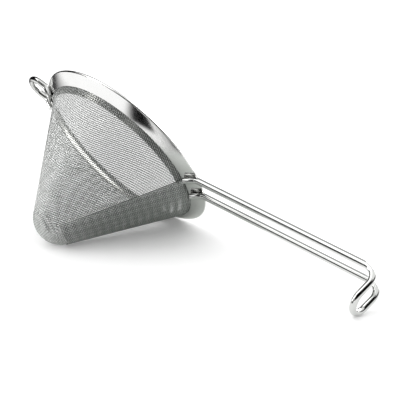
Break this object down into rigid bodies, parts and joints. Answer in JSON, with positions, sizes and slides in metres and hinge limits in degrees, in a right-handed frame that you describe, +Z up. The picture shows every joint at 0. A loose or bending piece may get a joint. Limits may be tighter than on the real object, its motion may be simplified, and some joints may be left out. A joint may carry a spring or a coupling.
{
  "type": "chinois strainer",
  "caption": "Conical fine-mesh strainer: woven wire cone clinched into a flared steel collar, hairpin wire handle with hooked end and a small rest loop.",
  "frame": {"origin": "on the table, under the middle of the strainer's outline as it lies on the collar's edge, the rounded tip and the hook", "axes": "+X along the handle toward its hook, level; +Z up; the opening faces +Y and up"},
  "size_m": [0.4062, 0.1638, 0.164],
  "materials": {
    "rim_collar": "polished stainless steel",
    "inner_ring": "polished stainless steel",
    "mesh_cone": "woven stainless wire cloth",
    "handle": "bright drawn stainless wire",
    "rest_loop": "bright drawn stainless wire"
  },
  "bodies": {
    "root": {"rim_collar": "rim_collar", "inner_ring": "inner_ring", "mesh_cone": "mesh_cone", "handle": "handle", "rest_loop": "rest_loop"}
  },
  "joints": []
}
